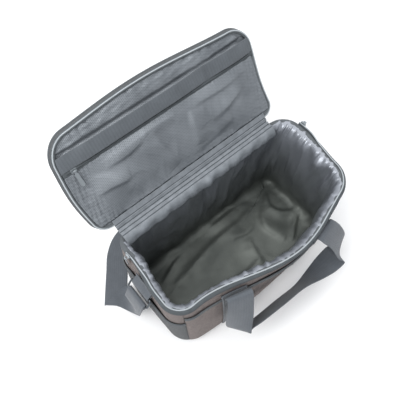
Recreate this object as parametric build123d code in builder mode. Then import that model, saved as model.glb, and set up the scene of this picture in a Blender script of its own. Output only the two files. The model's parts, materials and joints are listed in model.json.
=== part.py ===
from build123d import *
import math
import os

# Insulated cooler bag, in millimetres. Origin: centre of the base, on the surface it stands on.
# +X runs along the long side, -Y is the front, +Z is up. The lid stands open.

# Plan and height of the body
body_length = 440
body_depth = 205
body_height = 230
front_bulge = 18
front_corner = 50
back_corner = 42
seam_inset = 20

# Layers of the walls and of the base, from the outside in
cover_t = 1.5
foam_t = 12
liner_t = 1.0
base_t = 2
base_foam_t = 10
rim_binding_h = 8

# Clearance between pieces that move against each other
clearance = 0.3

# Main zip
tape_t = 1.2
body_tape_h = 14
coil_h = 1.4
zip_stop = 42

# Lid, in its closed place
lid_open = 125
lid_lift = 2
hinge_gap = 14
hinge_flap_start = 2.5
hinge_strip_h = 24
hinge_strip_t = 1.2
hinge_strip_side_gap = 45
lid_edge_inset = 0.3
lid_tape_h = 4.3
lining_recess = 4
lid_lining_t = 1.0
lid_foam_t = 10
lid_top_t = 1.5
lid_piping_w = 2.3
lid_piping_h = 4

# Band and zipped pocket on the lid's inside, by distance from the hinge
pocket_inset = 10
pocket_start = 28
pocket_cloth_t = 1.2
pocket_zip_start = 142
pocket_zip_w = 8
lid_band_w = 26
lid_band_t = 1.8
pocket_slider_inset = 22

# Outside pockets
pocket_floor_h = 8
pocket_side_wall = 3
pocket_wall_t = 1.5
front_pocket_gap = 7
front_pocket_drop = 32
side_pocket_gap = 8
side_pocket_drop = 62
pocket_binding_h = 10

# Webbing of the handles and of the shoulder strap
webbing_w = 50
webbing_t = 2
handle_limb_x = 105
handle_drop = 132
handle_corner = 24
handle_axis_drop = 29
handle_axis_gap = 0.8
handle_end_gap = 1.2
anchor_bottom = 10
front_handle_tilt = 42

# Rings and tabs of the shoulder strap
wire_d = 4
ring_reach = 20
ring_corner = 4
ring_droop = 50
ring_side_play = 2
tab_web_t = 1.5
tab_drop = 17
tab_h = 28
strap_end_l = 26

# Shoulder strap on the floor
strap_t = 2.5
strap_fold_out = 46
strap_fold_y = 88
strap_back_inset = 40
strap_back_gap = 96
adjuster_x = 90
adjuster_l = 24
adjuster_wall = 3.5
adjuster_bar_w = 6

# Zip sliders and their pullers
slider_l = 11
slider_w = 8
slider_t = 3
slider_corner = 2
puller_pin_d = 1.6
puller_tab_clearance = 0.7
puller_barrel_w = 4
puller_post_w = 1.2
puller_barrel_wall = 0.8
puller_w = 7
puller_t = 1.4
puller_l = 27
main_slider_offset = 8

# Places worked out from the sizes above
half_length = body_length / 2
back_y = body_depth / 2
front_y = -body_depth / 2
wall_top = body_height - rim_binding_h
foam_face = -cover_t
liner_face = foam_face - foam_t
inner_face = liner_face - liner_t
floor_h = base_t + base_foam_t
front_seam = half_length - seam_inset
back_seam = half_length - back_corner
hinge_y = back_y
hinge_h = body_height + lid_lift
lid_back_y = hinge_y - hinge_gap
lid_face = -lid_edge_inset
lid_core = lid_face - tape_t
lining_h = hinge_h + lining_recess
lid_foam_h = lining_h + lid_lining_t
lid_top_h = lid_foam_h + lid_foam_t
zip_end_y = back_y - zip_stop
front_pocket_top = body_height - front_pocket_drop - pocket_binding_h
side_pocket_top = body_height - side_pocket_drop - pocket_binding_h
handle_axis_h = body_height - handle_axis_drop
tab_top = body_height - tab_drop
tab_t = wire_d + 2 * tab_web_t + 2 * clearance
strap_end_t = wire_d + 2 * tab_web_t
puller_pin_h = tab_t + puller_tab_clearance + puller_t / 2 - tape_t - clearance - slider_t
far = 2 * body_length


def front_face_y(x):
    """Y of the bowed front at x, from the arc through its ends and its middle."""
    radius = (half_length**2 + front_bulge**2) / (2 * front_bulge)
    return front_y - front_bulge + radius - math.sqrt(radius**2 - x**2)


def outline(grow, rear=back_y):
    """Plan of the bag, bowed out at the front and round at the corners, drawn outwards by grow."""
    with BuildSketch() as plan:
        with BuildLine():
            Polyline((-half_length, front_y), (-half_length, rear), (half_length, rear), (half_length, front_y))
            ThreePointArc((half_length, front_y), (0, front_y - front_bulge), (-half_length, front_y))
        make_face()
        fillet(plan.vertices().group_by(Axis.Y)[-1], back_corner)
        fillet(plan.vertices().group_by(Axis.Y)[0], front_corner)
        if grow:
            offset(amount=grow, kind=Kind.ARC)
    return plan.sketch


def wall(outer, inner, bottom, top, frame=Plane.XY, rear=back_y):
    """Closed wall along the plan, between two offsets from it and two heights."""
    with BuildPart() as ring:
        with BuildSketch(frame.offset(bottom)):
            add(outline(outer, rear))
            add(outline(inner, rear), mode=Mode.SUBTRACT)
        extrude(amount=top - bottom)
    return ring.part


def plate(grow, bottom, top, frame=Plane.XY, rear=back_y):
    """Flat layer with the outline of the plan."""
    with BuildPart() as layer:
        with BuildSketch(frame.offset(bottom)):
            add(outline(grow, rear))
        extrude(amount=top - bottom)
    return layer.part


def zone(name, inset=0):
    """Corners, in plan, of the region that one side of the bag takes, drawn in from its seams."""
    front_x = front_seam - inset
    back_x = back_seam - inset
    side_front_x = front_seam + inset
    side_back_x = back_seam + inset
    regions = {
        "front": [(-front_x, -far), (front_x, -far), (front_x, 0), (-front_x, 0)],
        "back": [(-back_x, 0), (back_x, 0), (back_x, far), (-back_x, far)],
    }
    for side_name, side in (("left", -1), ("right", 1)):
        regions[side_name] = [
            (side * side_front_x, -far),
            (side * side_front_x, 0),
            (side * side_back_x, 0),
            (side * side_back_x, far),
            (side * far, far),
            (side * far, -far),
        ]
    return regions[name]


def cut_to(ring, corners, frame=Plane.XY):
    """The stretch of a wall that stands inside a region of the plan."""
    with BuildPart() as stretch:
        add(ring)
        with BuildSketch(frame):
            with BuildLine():
                Polyline(*corners, close=True)
            make_face()
        extrude(amount=far, mode=Mode.INTERSECT)
    return stretch.part


pieces = {}

# Base: an outer sheet and the foam board on it.
with BuildPart() as base_panel:
    add(plate(0, 0, base_t))
pieces["base_panel"] = base_panel.part

with BuildPart() as base_foam:
    add(plate(liner_face, base_t, floor_h))
pieces["base_foam"] = base_foam.part

# Cover and foam of the four sides, sewn at the corners.
cover_wall = wall(0, foam_face, base_t, wall_top)
foam_wall = wall(foam_face, liner_face, base_t, wall_top)
for side_name in ("front", "back", "left", "right"):
    with BuildPart() as side_cover:
        add(cut_to(cover_wall, zone(side_name)))
    pieces[side_name + "_panel"] = side_cover.part
    with BuildPart() as side_foam:
        add(cut_to(foam_wall, zone(side_name)))
    pieces[side_name + "_foam"] = side_foam.part

# Liner: one welded basin.
with BuildPart() as liner:
    add(plate(liner_face, floor_h, wall_top))
    add(plate(inner_face, floor_h + liner_t, wall_top), mode=Mode.SUBTRACT)
pieces["liner"] = liner.part

# Binding folded over the top of the cover, the foam and the liner.
with BuildPart() as rim_binding:
    add(wall(0, inner_face, wall_top, body_height))
pieces["rim_binding"] = rim_binding.part

# Body half of the main zip, round the front and both ends.
zip_run = [(-far, -far), (far, -far), (far, zip_end_y), (-far, zip_end_y)]
with BuildPart() as body_zip_tape:
    add(cut_to(wall(tape_t, 0, body_height - body_tape_h, body_height), zip_run))
pieces["body_zip_tape"] = body_zip_tape.part

with BuildPart() as body_zip_coil:
    add(cut_to(wall(tape_t, 0, body_height, body_height + coil_h), zip_run))
pieces["body_zip_coil"] = body_zip_coil.part


def outer_pocket(side_name, gap, top):
    """Patch pocket that stands off one side of the bag, with a floor, two end seams and an open mouth."""
    ring = wall(gap + pocket_wall_t, 0, base_t, top)
    hollow = wall(gap, 0, base_t + pocket_floor_h, top)
    with BuildPart() as pocket:
        add(cut_to(ring, zone(side_name)))
        add(cut_to(hollow, zone(side_name, pocket_side_wall)), mode=Mode.SUBTRACT)
    return pocket.part


for side_name, gap, top in (
    ("front", front_pocket_gap, front_pocket_top),
    ("left", side_pocket_gap, side_pocket_top),
    ("right", side_pocket_gap, side_pocket_top),
):
    with BuildPart() as outside_pocket:
        add(outer_pocket(side_name, gap, top))
    pieces[side_name + "_pocket"] = outside_pocket.part
    binding_ring = wall(gap + pocket_wall_t, gap, top, top + pocket_binding_h)
    with BuildPart() as pocket_binding:
        add(cut_to(binding_ring, zone(side_name)))
    pieces[side_name + "_pocket_binding"] = pocket_binding.part

# Hinge strip: its lower half is sewn outside the back, its upper half to the lid.
hinge_strip_l = body_length - 2 * hinge_strip_side_gap
with BuildPart() as hinge_strip_lower:
    with BuildSketch(Plane.XY.offset(body_height - hinge_strip_h)):
        with Locations((0, back_y + hinge_strip_t / 2)):
            Rectangle(hinge_strip_l, hinge_strip_t)
    extrude(amount=hinge_strip_h + lid_lift - clearance)
pieces["hinge_strip_lower"] = hinge_strip_lower.part

# Lid: every piece is drawn where it lies closed, on a frame turned open about the hinge.
hinge = Location((0, hinge_y, hinge_h))
lid_frame = Plane(hinge * Location((0, 0, 0), (-lid_open, 0, 0)) * hinge.inverse())

with BuildPart() as hinge_strip_upper:
    with BuildSketch(lid_frame.offset(hinge_h + clearance)):
        with Locations((0, (lid_back_y - lid_core + hinge_y - hinge_flap_start) / 2 + lid_core)):
            Rectangle(hinge_strip_l, hinge_gap - lid_core - hinge_flap_start)
    extrude(amount=lining_recess)
pieces["hinge_strip_upper"] = hinge_strip_upper.part

lid_zip_run = [(-far, -far), (far, -far), (far, zip_end_y), (-far, zip_end_y)]
lid_tape_h0 = hinge_h + clearance + coil_h
with BuildPart() as lid_zip_coil:
    coil_ring = wall(lid_face, lid_core, hinge_h + clearance, lid_tape_h0, lid_frame, lid_back_y)
    add(cut_to(coil_ring, lid_zip_run, lid_frame))
pieces["lid_zip_coil"] = lid_zip_coil.part

with BuildPart() as lid_zip_tape:
    tape_ring = wall(lid_face, lid_core, lid_tape_h0, lid_tape_h0 + lid_tape_h, lid_frame, lid_back_y)
    add(cut_to(tape_ring, lid_zip_run, lid_frame))
pieces["lid_zip_tape"] = lid_zip_tape.part

lid_top_face = lid_top_h + lid_top_t
with BuildPart() as lid_side_band:
    add(wall(lid_face, lid_core, lid_tape_h0 + lid_tape_h, lid_top_face, lid_frame, lid_back_y))
pieces["lid_side_band"] = lid_side_band.part

with BuildPart() as lid_lining:
    add(plate(lid_core, lining_h, lid_foam_h, lid_frame, lid_back_y))
pieces["lid_lining"] = lid_lining.part

with BuildPart() as lid_foam:
    add(plate(lid_core, lid_foam_h, lid_top_h, lid_frame, lid_back_y))
pieces["lid_foam"] = lid_foam.part

with BuildPart() as lid_top_panel:
    add(plate(lid_core, lid_top_h, lid_top_face, lid_frame, lid_back_y))
pieces["lid_top_panel"] = lid_top_panel.part

with BuildPart() as lid_piping:
    piping_top = lid_top_face + coil_h
    add(wall(lid_face + lid_piping_w, lid_face, piping_top - lid_piping_h, piping_top, lid_frame, lid_back_y))
pieces["lid_piping"] = lid_piping.part

# Pocket, its zip and the webbing band, each sewn on the lid's lining inside the same margin.
band_start = pocket_zip_start + pocket_zip_w
for name, start, end, thickness in (
    ("lid_pocket", pocket_start, pocket_zip_start, pocket_cloth_t),
    ("lid_pocket_zip", pocket_zip_start, band_start, pocket_cloth_t),
    ("lid_band", band_start, band_start + lid_band_w, lid_band_t),
):
    strip = [(-far, hinge_y - end), (far, hinge_y - end), (far, hinge_y - start), (-far, hinge_y - start)]
    layer = plate(-pocket_inset, lining_h - thickness, lining_h, lid_frame, lid_back_y)
    with BuildPart() as lid_cloth:
        add(cut_to(layer, strip, lid_frame))
    pieces[name] = lid_cloth.part


def zip_slider(seat):
    """Slider body with a bridge pin: the seat's x runs along the zip and its z points off it."""
    pin_h = clearance + slider_t + puller_pin_h
    post_x = puller_barrel_w / 2 + clearance
    with BuildPart() as slider:
        with BuildSketch(seat.offset(clearance)):
            RectangleRounded(slider_l, slider_w, slider_corner)
        extrude(amount=slider_t)
        with BuildSketch(seat.offset(clearance + slider_t)):
            with Locations((-post_x - puller_post_w / 2, 0), (post_x + puller_post_w / 2, 0)):
                Rectangle(puller_post_w, puller_pin_d)
        extrude(amount=puller_pin_h + puller_pin_d / 2)
        pin_start = seat.from_local_coords(Vector(-post_x - puller_post_w, 0, pin_h))
        with BuildSketch(Plane(origin=pin_start, z_dir=seat.x_dir)):
            Circle(puller_pin_d / 2)
        extrude(amount=2 * (post_x + puller_post_w))
    return slider.part


def zip_puller(seat):
    """Pull tab on a barrel round the slider's pin, hanging along the seat's y."""
    pin_h = clearance + slider_t + puller_pin_h
    bore_r = puller_pin_d / 2 + clearance
    barrel_r = bore_r + puller_barrel_wall
    barrel_start = seat.from_local_coords(Vector(-puller_barrel_w / 2, 0, pin_h))
    with BuildPart() as puller:
        with BuildSketch(seat.offset(pin_h - puller_t / 2)):
            with Locations((0, puller_l / 2 + slider_w / 2)):
                RectangleRounded(puller_w, puller_l, puller_w / 2 - clearance)
            with Locations((0, (slider_w / 2 + puller_w) / 2)):
                Rectangle(puller_barrel_w, slider_w / 2 + puller_w)
        extrude(amount=puller_t)
        with BuildSketch(Plane(origin=barrel_start, z_dir=seat.x_dir)):
            Circle(barrel_r)
        extrude(amount=puller_barrel_w)
        with BuildSketch(Plane(origin=barrel_start, z_dir=seat.x_dir)):
            Circle(bore_r)
        extrude(amount=puller_barrel_w, mode=Mode.SUBTRACT)
    return puller.part


# Slider and puller of the lid pocket, parked at the left end of its zip.
zip_line_y = hinge_y - pocket_zip_start - pocket_zip_w / 2
pocket_seat = Plane(
    origin=lid_frame.from_local_coords(
        Vector(-half_length + pocket_slider_inset, zip_line_y, lining_h - pocket_cloth_t)
    ),
    x_dir=-lid_frame.x_dir,
    z_dir=-lid_frame.z_dir,
)
with BuildPart() as pocket_slider:
    add(zip_slider(pocket_seat))
pieces["pocket_slider"] = pocket_slider.part

with BuildPart() as pocket_puller:
    add(zip_puller(pocket_seat))
pieces["pocket_puller"] = pocket_puller.part

# Sliders and pullers of the main zip, parked at its two ends by the hinge.
for side_name, side in (("left", -1), ("right", 1)):
    seat = Plane(
        origin=(side * (half_length + tape_t), zip_end_y - main_slider_offset, body_height + coil_h / 2),
        x_dir=(0, -side, 0),
        z_dir=(side, 0, 0),
    )
    with BuildPart() as main_slider:
        add(zip_slider(seat))
    pieces[side_name + "_zip_slider"] = main_slider.part
    with BuildPart() as main_puller:
        add(zip_puller(seat))
    pieces[side_name + "_zip_puller"] = main_puller.part


def handle_loop(axis_y, tilt, side):
    """Loop of webbing, tilted out from hanging straight down about the line where its limbs leave the bag."""
    lean = math.radians(tilt)
    along = Vector(0, side * math.sin(lean), -math.cos(lean))
    face = Vector(1, 0, 0).cross(along)
    plane = Plane(origin=(0, axis_y, handle_axis_h), x_dir=(1, 0, 0), z_dir=face)
    half_width = handle_limb_x + webbing_w / 2
    window = handle_limb_x - webbing_w / 2
    limb_end = handle_drop - handle_end_gap
    with BuildPart() as loop:
        with BuildSketch(plane.offset(-webbing_t / 2)) as profile:
            with Locations((0, handle_end_gap + limb_end / 2)):
                Rectangle(2 * half_width, limb_end)
            fillet(profile.vertices().group_by(Axis((0, 0, 0), (0, 1, 0)))[-1], handle_corner)
            with Locations((0, handle_end_gap + (limb_end - webbing_w) / 2)):
                Rectangle(2 * window, limb_end - webbing_w, mode=Mode.SUBTRACT)
        extrude(amount=webbing_t)
    return loop.part


# Handles: each has two webbing strips sewn down the bag and a loop that leaves them near the rim.
front_strip_face = front_pocket_gap + pocket_wall_t
limb_inner_x = handle_limb_x - webbing_w / 2
front_axis_y = front_face_y(limb_inner_x) - front_strip_face - webbing_t - handle_axis_gap - webbing_t / 2
back_axis_y = back_y + webbing_t + handle_axis_gap + webbing_t / 2
strip_top = {"front": front_pocket_top + pocket_binding_h, "back": handle_axis_h}
strip_face = {"front": front_strip_face, "back": 0}
for side_name in ("front", "back"):
    face = strip_face[side_name]
    band = wall(face + webbing_t, face, anchor_bottom, strip_top[side_name])
    for limb_name, limb in (("left", -1), ("right", 1)):
        near_x = limb * limb_inner_x
        far_x = limb * (limb_inner_x + webbing_w)
        end_y = -far if side_name == "front" else far
        with BuildPart() as anchor:
            add(cut_to(band, [(near_x, 0), (far_x, 0), (far_x, end_y), (near_x, end_y)]))
        pieces[f"{side_name}_{limb_name}_anchor"] = anchor.part

with BuildPart() as front_handle:
    add(handle_loop(front_axis_y, front_handle_tilt, -1))
pieces["front_handle"] = front_handle.part

with BuildPart() as back_handle:
    add(handle_loop(back_axis_y, 0, 1))
pieces["back_handle"] = back_handle.part

# Shoulder strap: at each end a sewn tab holds a wire ring, and the ring holds the strap's folded end.
ring_x = half_length + tab_t / 2
ring_h = tab_top - tab_h + tab_t / 2
droop = math.radians(ring_droop)
ring_w = webbing_w + 2 * ring_side_play + wire_d
for side_name, side in (("left", -1), ("right", 1)):
    down = Vector(side * math.cos(droop), 0, -math.sin(droop))
    ring_pin = Vector(side * ring_x, 0, ring_h)
    ring_plane = Plane(origin=ring_pin + down * ring_reach / 2, x_dir=(0, 1, 0), z_dir=Vector(0, 1, 0).cross(down))
    bar_plane = Plane(origin=ring_pin + down * ring_reach, x_dir=down, z_dir=(0, 1, 0))

    with BuildPart() as ring_tab:
        with BuildSketch(Plane.XZ.offset(-webbing_w / 2)):
            with Locations((side * ring_x, tab_top - tab_h / 2)):
                Rectangle(tab_t, tab_h)
        extrude(amount=webbing_w)
        fillet(ring_tab.edges().filter_by(Axis.Y).group_by(Axis.Z)[0], tab_t / 2 - clearance)
        with BuildSketch(Plane.XZ.offset(-webbing_w / 2)):
            with Locations((side * ring_x, ring_h)):
                Circle(wire_d / 2 + clearance)
        extrude(amount=webbing_w, mode=Mode.SUBTRACT)
    pieces[side_name + "_ring_tab"] = ring_tab.part

    with BuildPart() as strap_ring:
        with BuildSketch(ring_plane, mode=Mode.PRIVATE) as ring_shape:
            RectangleRounded(ring_w, ring_reach, ring_corner)
        ring_path = ring_shape.sketch.faces()[0].outer_wire()
        with BuildSketch(Plane(origin=ring_path @ 0, z_dir=ring_path % 0)):
            Circle(wire_d / 2)
        sweep(path=ring_path)
    pieces[side_name + "_ring"] = strap_ring.part

    with BuildPart() as strap_end:
        with BuildSketch(bar_plane.offset(-webbing_w / 2)):
            with Locations((strap_end_l / 2, 0)):
                Rectangle(strap_end_l, strap_end_t)
            Circle(strap_end_t / 2)
            Circle(wire_d / 2, mode=Mode.SUBTRACT)
        extrude(amount=webbing_w)
    pieces[side_name + "_strap_end"] = strap_end.part

# Strap: it drops from both ends to the floor and lies folded round the back of the bag.
strap_reach = ring_reach + strap_end_l + 2 * clearance + strap_end_t**2 / (4 * strap_end_l)
strap_back_y = back_y + strap_back_gap
strap_back_x = half_length - strap_back_inset
fold_x = half_length + strap_fold_out
floor_route = [
    (-fold_x, strap_fold_y),
    (-strap_back_x, strap_back_y),
    (strap_back_x, strap_back_y),
    (fold_x, strap_fold_y),
]
with BuildPart() as shoulder_strap:
    with BuildSketch():
        with BuildLine() as floor_line:
            Polyline(*floor_route)
        trace(floor_line.line, webbing_w)
    extrude(amount=strap_t)
    for side in (-1, 1):
        down = Vector(side * math.cos(droop), 0, -math.sin(droop))
        top_centre = Vector(side * ring_x, 0, ring_h) + down * strap_reach
        fold_end = Vector(side * fold_x, strap_fold_y, 0)
        run = Vector(side * (strap_back_x - fold_x), strap_back_y - strap_fold_y, 0).normalized()
        across = Vector(0, 0, 1).cross(run) * side
        with BuildSketch(Plane(origin=top_centre, x_dir=(0, 1, 0), z_dir=down)):
            Rectangle(webbing_w, strap_t)
        with BuildSketch(Plane(origin=fold_end + Vector(0, 0, strap_t / 2), x_dir=(0, 1, 0), z_dir=(side, 0, 0))):
            Rectangle(webbing_w, strap_t)
        loft(ruled=True)
pieces["shoulder_strap"] = shoulder_strap.part

# Adjuster: a moulded frame round the strap with a bar over it.
adjuster_in_w = webbing_w + 2 * clearance
adjuster_in_h = strap_t + clearance
with BuildPart() as strap_adjuster:
    with BuildSketch():
        for edge in (-1, 1):
            with Locations((adjuster_x, strap_back_y + edge * (adjuster_in_w + adjuster_wall) / 2)):
                Rectangle(adjuster_l, adjuster_wall)
    extrude(amount=adjuster_in_h + adjuster_wall)
    with BuildSketch(Plane.XY.offset(adjuster_in_h)):
        with Locations((adjuster_x, strap_back_y)):
            with GridLocations((adjuster_l - adjuster_bar_w) / 2, 1, 3, 1):
                Rectangle(adjuster_bar_w / 2, adjuster_in_w + 2 * adjuster_wall)
    extrude(amount=adjuster_wall)
pieces["strap_adjuster"] = strap_adjuster.part

os.makedirs("parts", exist_ok=True)
for name, piece in pieces.items():
    piece.label = name
    export_step(piece, f"parts/{name}.step")
print(len(pieces), "pieces")
print("lid hinge", hinge_y, hinge_h)
print("front handle axis", round(front_axis_y, 3), handle_axis_h, "back handle axis", round(back_axis_y, 3))
print("ring pin", ring_x, ring_h, "pocket slider travel", body_length - 2 * pocket_slider_inset)
print("main slider pin", half_length + tape_t + clearance + slider_t + puller_pin_h, body_height + coil_h / 2)
pin_point = pocket_seat.from_local_coords(Vector(0, 0, clearance + slider_t + puller_pin_h))
print("pocket puller pin", pin_point)
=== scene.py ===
import json
import math
import bpy
import numpy as np
from mathutils import Matrix, Vector


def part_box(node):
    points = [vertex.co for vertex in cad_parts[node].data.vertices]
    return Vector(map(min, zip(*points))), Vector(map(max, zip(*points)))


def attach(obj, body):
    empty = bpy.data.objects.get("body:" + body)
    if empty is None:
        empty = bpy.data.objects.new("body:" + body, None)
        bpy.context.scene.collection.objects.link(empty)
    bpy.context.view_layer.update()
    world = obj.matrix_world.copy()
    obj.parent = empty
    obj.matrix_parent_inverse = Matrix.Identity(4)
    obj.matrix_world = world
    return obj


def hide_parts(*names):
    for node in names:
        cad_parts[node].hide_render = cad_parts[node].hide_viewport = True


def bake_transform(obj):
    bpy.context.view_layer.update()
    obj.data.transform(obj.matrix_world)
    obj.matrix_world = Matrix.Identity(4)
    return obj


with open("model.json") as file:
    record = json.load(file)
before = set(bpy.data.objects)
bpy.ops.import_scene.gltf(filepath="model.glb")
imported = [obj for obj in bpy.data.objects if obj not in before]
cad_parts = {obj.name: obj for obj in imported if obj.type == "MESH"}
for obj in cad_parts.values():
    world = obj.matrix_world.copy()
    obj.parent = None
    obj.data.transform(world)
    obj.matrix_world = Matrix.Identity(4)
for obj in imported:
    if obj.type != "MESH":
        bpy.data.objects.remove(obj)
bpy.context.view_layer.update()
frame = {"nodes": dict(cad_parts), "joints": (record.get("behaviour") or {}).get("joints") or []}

# ---------------------------------------------------------------------------------------------
# Studio: a pale floor, an even white surround, a key light high on the left and a broader one above and
# behind. The camera stands in front of the bag's left end, looking down into it.
# ---------------------------------------------------------------------------------------------


def srgb(code):
    """Linear colour, with alpha, of an sRGB hex code."""
    parts = np.array([int(code[i : i + 2], 16) for i in (1, 3, 5)]) / 255
    return (*np.where(parts <= 0.04045, parts / 12.92, ((parts + 0.055) / 1.055) ** 2.4), 1.0)


def plug(tree, made, sockets):
    """Fills a node's inputs with values, or links outputs into them."""
    for key, value in sockets.items():
        if isinstance(value, bpy.types.NodeSocket):
            tree.links.new(value, made.inputs[key])
        else:
            made.inputs[key].default_value = value


def node(tree, kind, sockets, **settings):
    """A shader node of a kind, with its inputs filled and its settings made."""
    made = tree.nodes.new("ShaderNode" + kind)
    for name, value in settings.items():
        setattr(made, name, value)
    plug(tree, made, sockets)
    return made


def new_material(name):
    """An empty node material and its principled shader."""
    material = bpy.data.materials.new(name)
    material.use_nodes = True
    return material, material.node_tree, material.node_tree.nodes["Principled BSDF"]


scene = bpy.context.scene
scene.view_settings.view_transform = "Standard"
surround = bpy.data.worlds.new("surround")
surround.use_nodes = True
plug(surround.node_tree, surround.node_tree.nodes["Background"], {"Color": srgb("#f4f6f9"), "Strength": 0.8})
scene.world = surround

floor_size = 12.0
floor_mesh = bpy.data.meshes.new("floor")
corners = [(-1, -1, 0), (1, -1, 0), (1, 1, 0), (-1, 1, 0)]
floor_mesh.from_pydata([Vector(c) * floor_size for c in corners], [], [(0, 1, 2, 3)])
floor = bpy.data.objects.new("floor", floor_mesh)
scene.collection.objects.link(floor)
paper, tree, shader = new_material("white_paper_floor")
plug(tree, shader, {"Base Color": srgb("#fbfbfb"), "Roughness": 0.9, "Specular IOR Level": 0.1})
floor_mesh.materials.append(paper)

for name, place, size, power in (
    ("key_light", (-0.95, -0.1, 1.75), 1.0, 22.0),
    ("top_light", (0.4, 0.5, 2.2), 2.0, 22.0),
):
    light = bpy.data.lights.new(name, "AREA")
    light.size, light.energy = size, power
    lamp = bpy.data.objects.new(name, light)
    lamp.location = place
    lamp.rotation_euler = (Vector((0, 0, 0.1)) - Vector(place)).to_track_quat("-Z", "Y").to_euler()
    scene.collection.objects.link(lamp)

camera_azimuth, camera_elevation, camera_roll = -37.09, 62.75, -3.15
camera_distance = 0.9055
aim = Vector((0, 0, 0.115))
aim_right, aim_up = -0.0617, 0.0737
a, e = math.radians(camera_azimuth), math.radians(camera_elevation)
back = Vector((math.sin(a) * math.cos(e), -math.cos(a) * math.cos(e), math.sin(e)))
right = Vector((math.cos(a), math.sin(a), 0))
up = back.cross(right)
camera = bpy.data.objects.new("camera", bpy.data.cameras.new("camera"))
camera.data.sensor_width = 36
camera.data.lens = 38.04
roll = Matrix.Rotation(math.radians(camera_roll), 3, "Z")
camera.matrix_world = (Matrix((right, up, back)).transposed() @ roll).to_4x4()
camera.location = aim + right * aim_right + up * aim_up + back * camera_distance
scene.collection.objects.link(camera)
scene.camera = camera

# ---------------------------------------------------------------------------------------------
# The bag's plan: a long round-cornered rectangle. Shapes are worked out in mm and become metres in the mesh.
# With the lid open the soft rim hangs out of true: bowed out at the front, in at the left, out at the right.
# ---------------------------------------------------------------------------------------------
mm = 0.001


def box_mm(name):
    """Lowest and highest corner of a CAD node, in mm."""
    low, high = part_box(name)
    return np.array(low) / mm, np.array(high) / mm


base_high = box_mm("base_panel")[1]
half_length = base_high[0]
back_y = base_high[1]
rim_h = box_mm("rim_binding")[1][2]
wall_corner = 42.0
rim_lean = 1.6
end_flare = 7.0
rim_girth = 1260.0


def smooth(t):
    """0 below 0, 1 above 1 and an S curve between."""
    t = np.clip(t, 0, 1)
    return t * t * (3 - 2 * t)


def hump(t):
    """Half a cosine wave: 1 at 0, falling to 0 at -1 and 1."""
    return 0.5 + 0.5 * np.cos(np.pi * np.clip(t, -1, 1))


def round_corners(half_x, near_y, far_y, near_r, far_r, steps=40):
    """Closed outline walked from the middle of the far side, round by -X, as (share walked, x, y).
    Each corner is a quarter circle; the walk's share is its length along the outline."""
    turn = np.radians(np.linspace(0, 90, steps))
    runs = []
    for cx, cy, r, start in (
        (-half_x + far_r, far_y - far_r, far_r, 90),
        (-half_x + near_r, near_y + near_r, near_r, 180),
        (half_x - near_r, near_y + near_r, near_r, 270),
        (half_x - far_r, far_y - far_r, far_r, 0),
    ):
        angle = np.radians(start) + turn
        runs.append(np.stack([cx + r * np.cos(angle), cy + r * np.sin(angle)], 1))
    top = np.array([[0.0, far_y]])
    line = np.concatenate([top, *runs, top])
    walked = np.r_[0, np.cumsum(np.linalg.norm(np.diff(line, axis=0), axis=1))]
    return walked / walked[-1], line[:, 0], line[:, 1]


body_walk = round_corners(half_length, -back_y, back_y, wall_corner, wall_corner)


def slack(x, y, z):
    """The walls' bow in mm, from the floor's shape at z 0 to the rim's at the top.
    The front is an arc below and a wider cosine bow above; the ends lean left to right."""
    rise = np.clip(z / rim_h, 0, 1.05) ** rim_lean
    front = smooth((-y - 15) / 75)
    low_bow = -18 * (1 - (x / half_length) ** 2)
    high_bow = 5.5 - 48 * hump((x - 42) / 215)
    left = smooth((-x - 120) / 80)
    left_low = -2 * hump((y - 20) / 90)
    left_high = 5 + 10 * hump((y - 42) / 75)
    right = smooth((x - 120) / 80)
    right_high = 7 + 14 * smooth((y + 75) / 110)
    dx = left * (left_low + (left_high - left_low) * rise)
    dx = dx + right * right_high * rise ** (end_flare / rim_lean)
    dy = front * (low_bow + (high_bow - low_bow) * rise)
    return dx, dy


def rim_line(s, z):
    """Plan point at share s of the walk and height z, bow included."""
    s = np.mod(s, 1.0)
    x, y = np.interp(s, body_walk[0], body_walk[1]), np.interp(s, body_walk[0], body_walk[2])
    dx, dy = slack(x, y, z)
    return np.stack([x + dx, y + dy, z + 0 * x], -1)


def wall_point(s, z, out=0.0):
    """Point of the bag's outer face at share s and height z, moved out along the plan's normal."""
    step = 2e-3
    ahead = rim_line(s + step, z) - rim_line(s - step, z)
    normal = np.stack([ahead[..., 1], -ahead[..., 0], 0 * ahead[..., 0]], -1)
    normal /= np.linalg.norm(normal, axis=-1, keepdims=True)
    return rim_line(s, z) + np.asarray(out)[..., None] * normal


def share_at(x, front):
    """Share of the walk where the front or the back passes x."""
    s, px, py = body_walk
    keep = (py < 0) if front else (py > 0) & (s > 0.5 if x > 0 else s < 0.5)
    order = np.argsort(px[keep])
    return float(np.interp(x, px[keep][order], s[keep][order]))


seam_front = half_length - 20
seam_back = half_length - wall_corner
seams = {
    "left": (share_at(-seam_back, False), share_at(-seam_front, True)),
    "front": (share_at(-seam_front, True), share_at(seam_front, True)),
    "right": (share_at(seam_front, True), share_at(seam_back, False)),
    "back": (share_at(seam_back, False) - 1, share_at(-seam_back, False)),
}


def ripples(x, y, seed, size, count=7):
    """Soft uneven waves about 1 high: sines in seeded directions, with wavelengths round size, in mm."""
    draw = np.random.default_rng(seed)
    total = 0
    angles = draw.uniform(0, np.pi, count)
    lengths = size * draw.uniform(0.6, 1.7, count)
    phases = draw.uniform(0, 2 * np.pi, count)
    for angle, length, phase in zip(angles, lengths, phases):
        along = x * np.cos(angle) + y * np.sin(angle)
        total = total + np.sin(2 * np.pi * along / length + phase + 1.5 * total / count)
    return total / math.sqrt(count)


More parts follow.
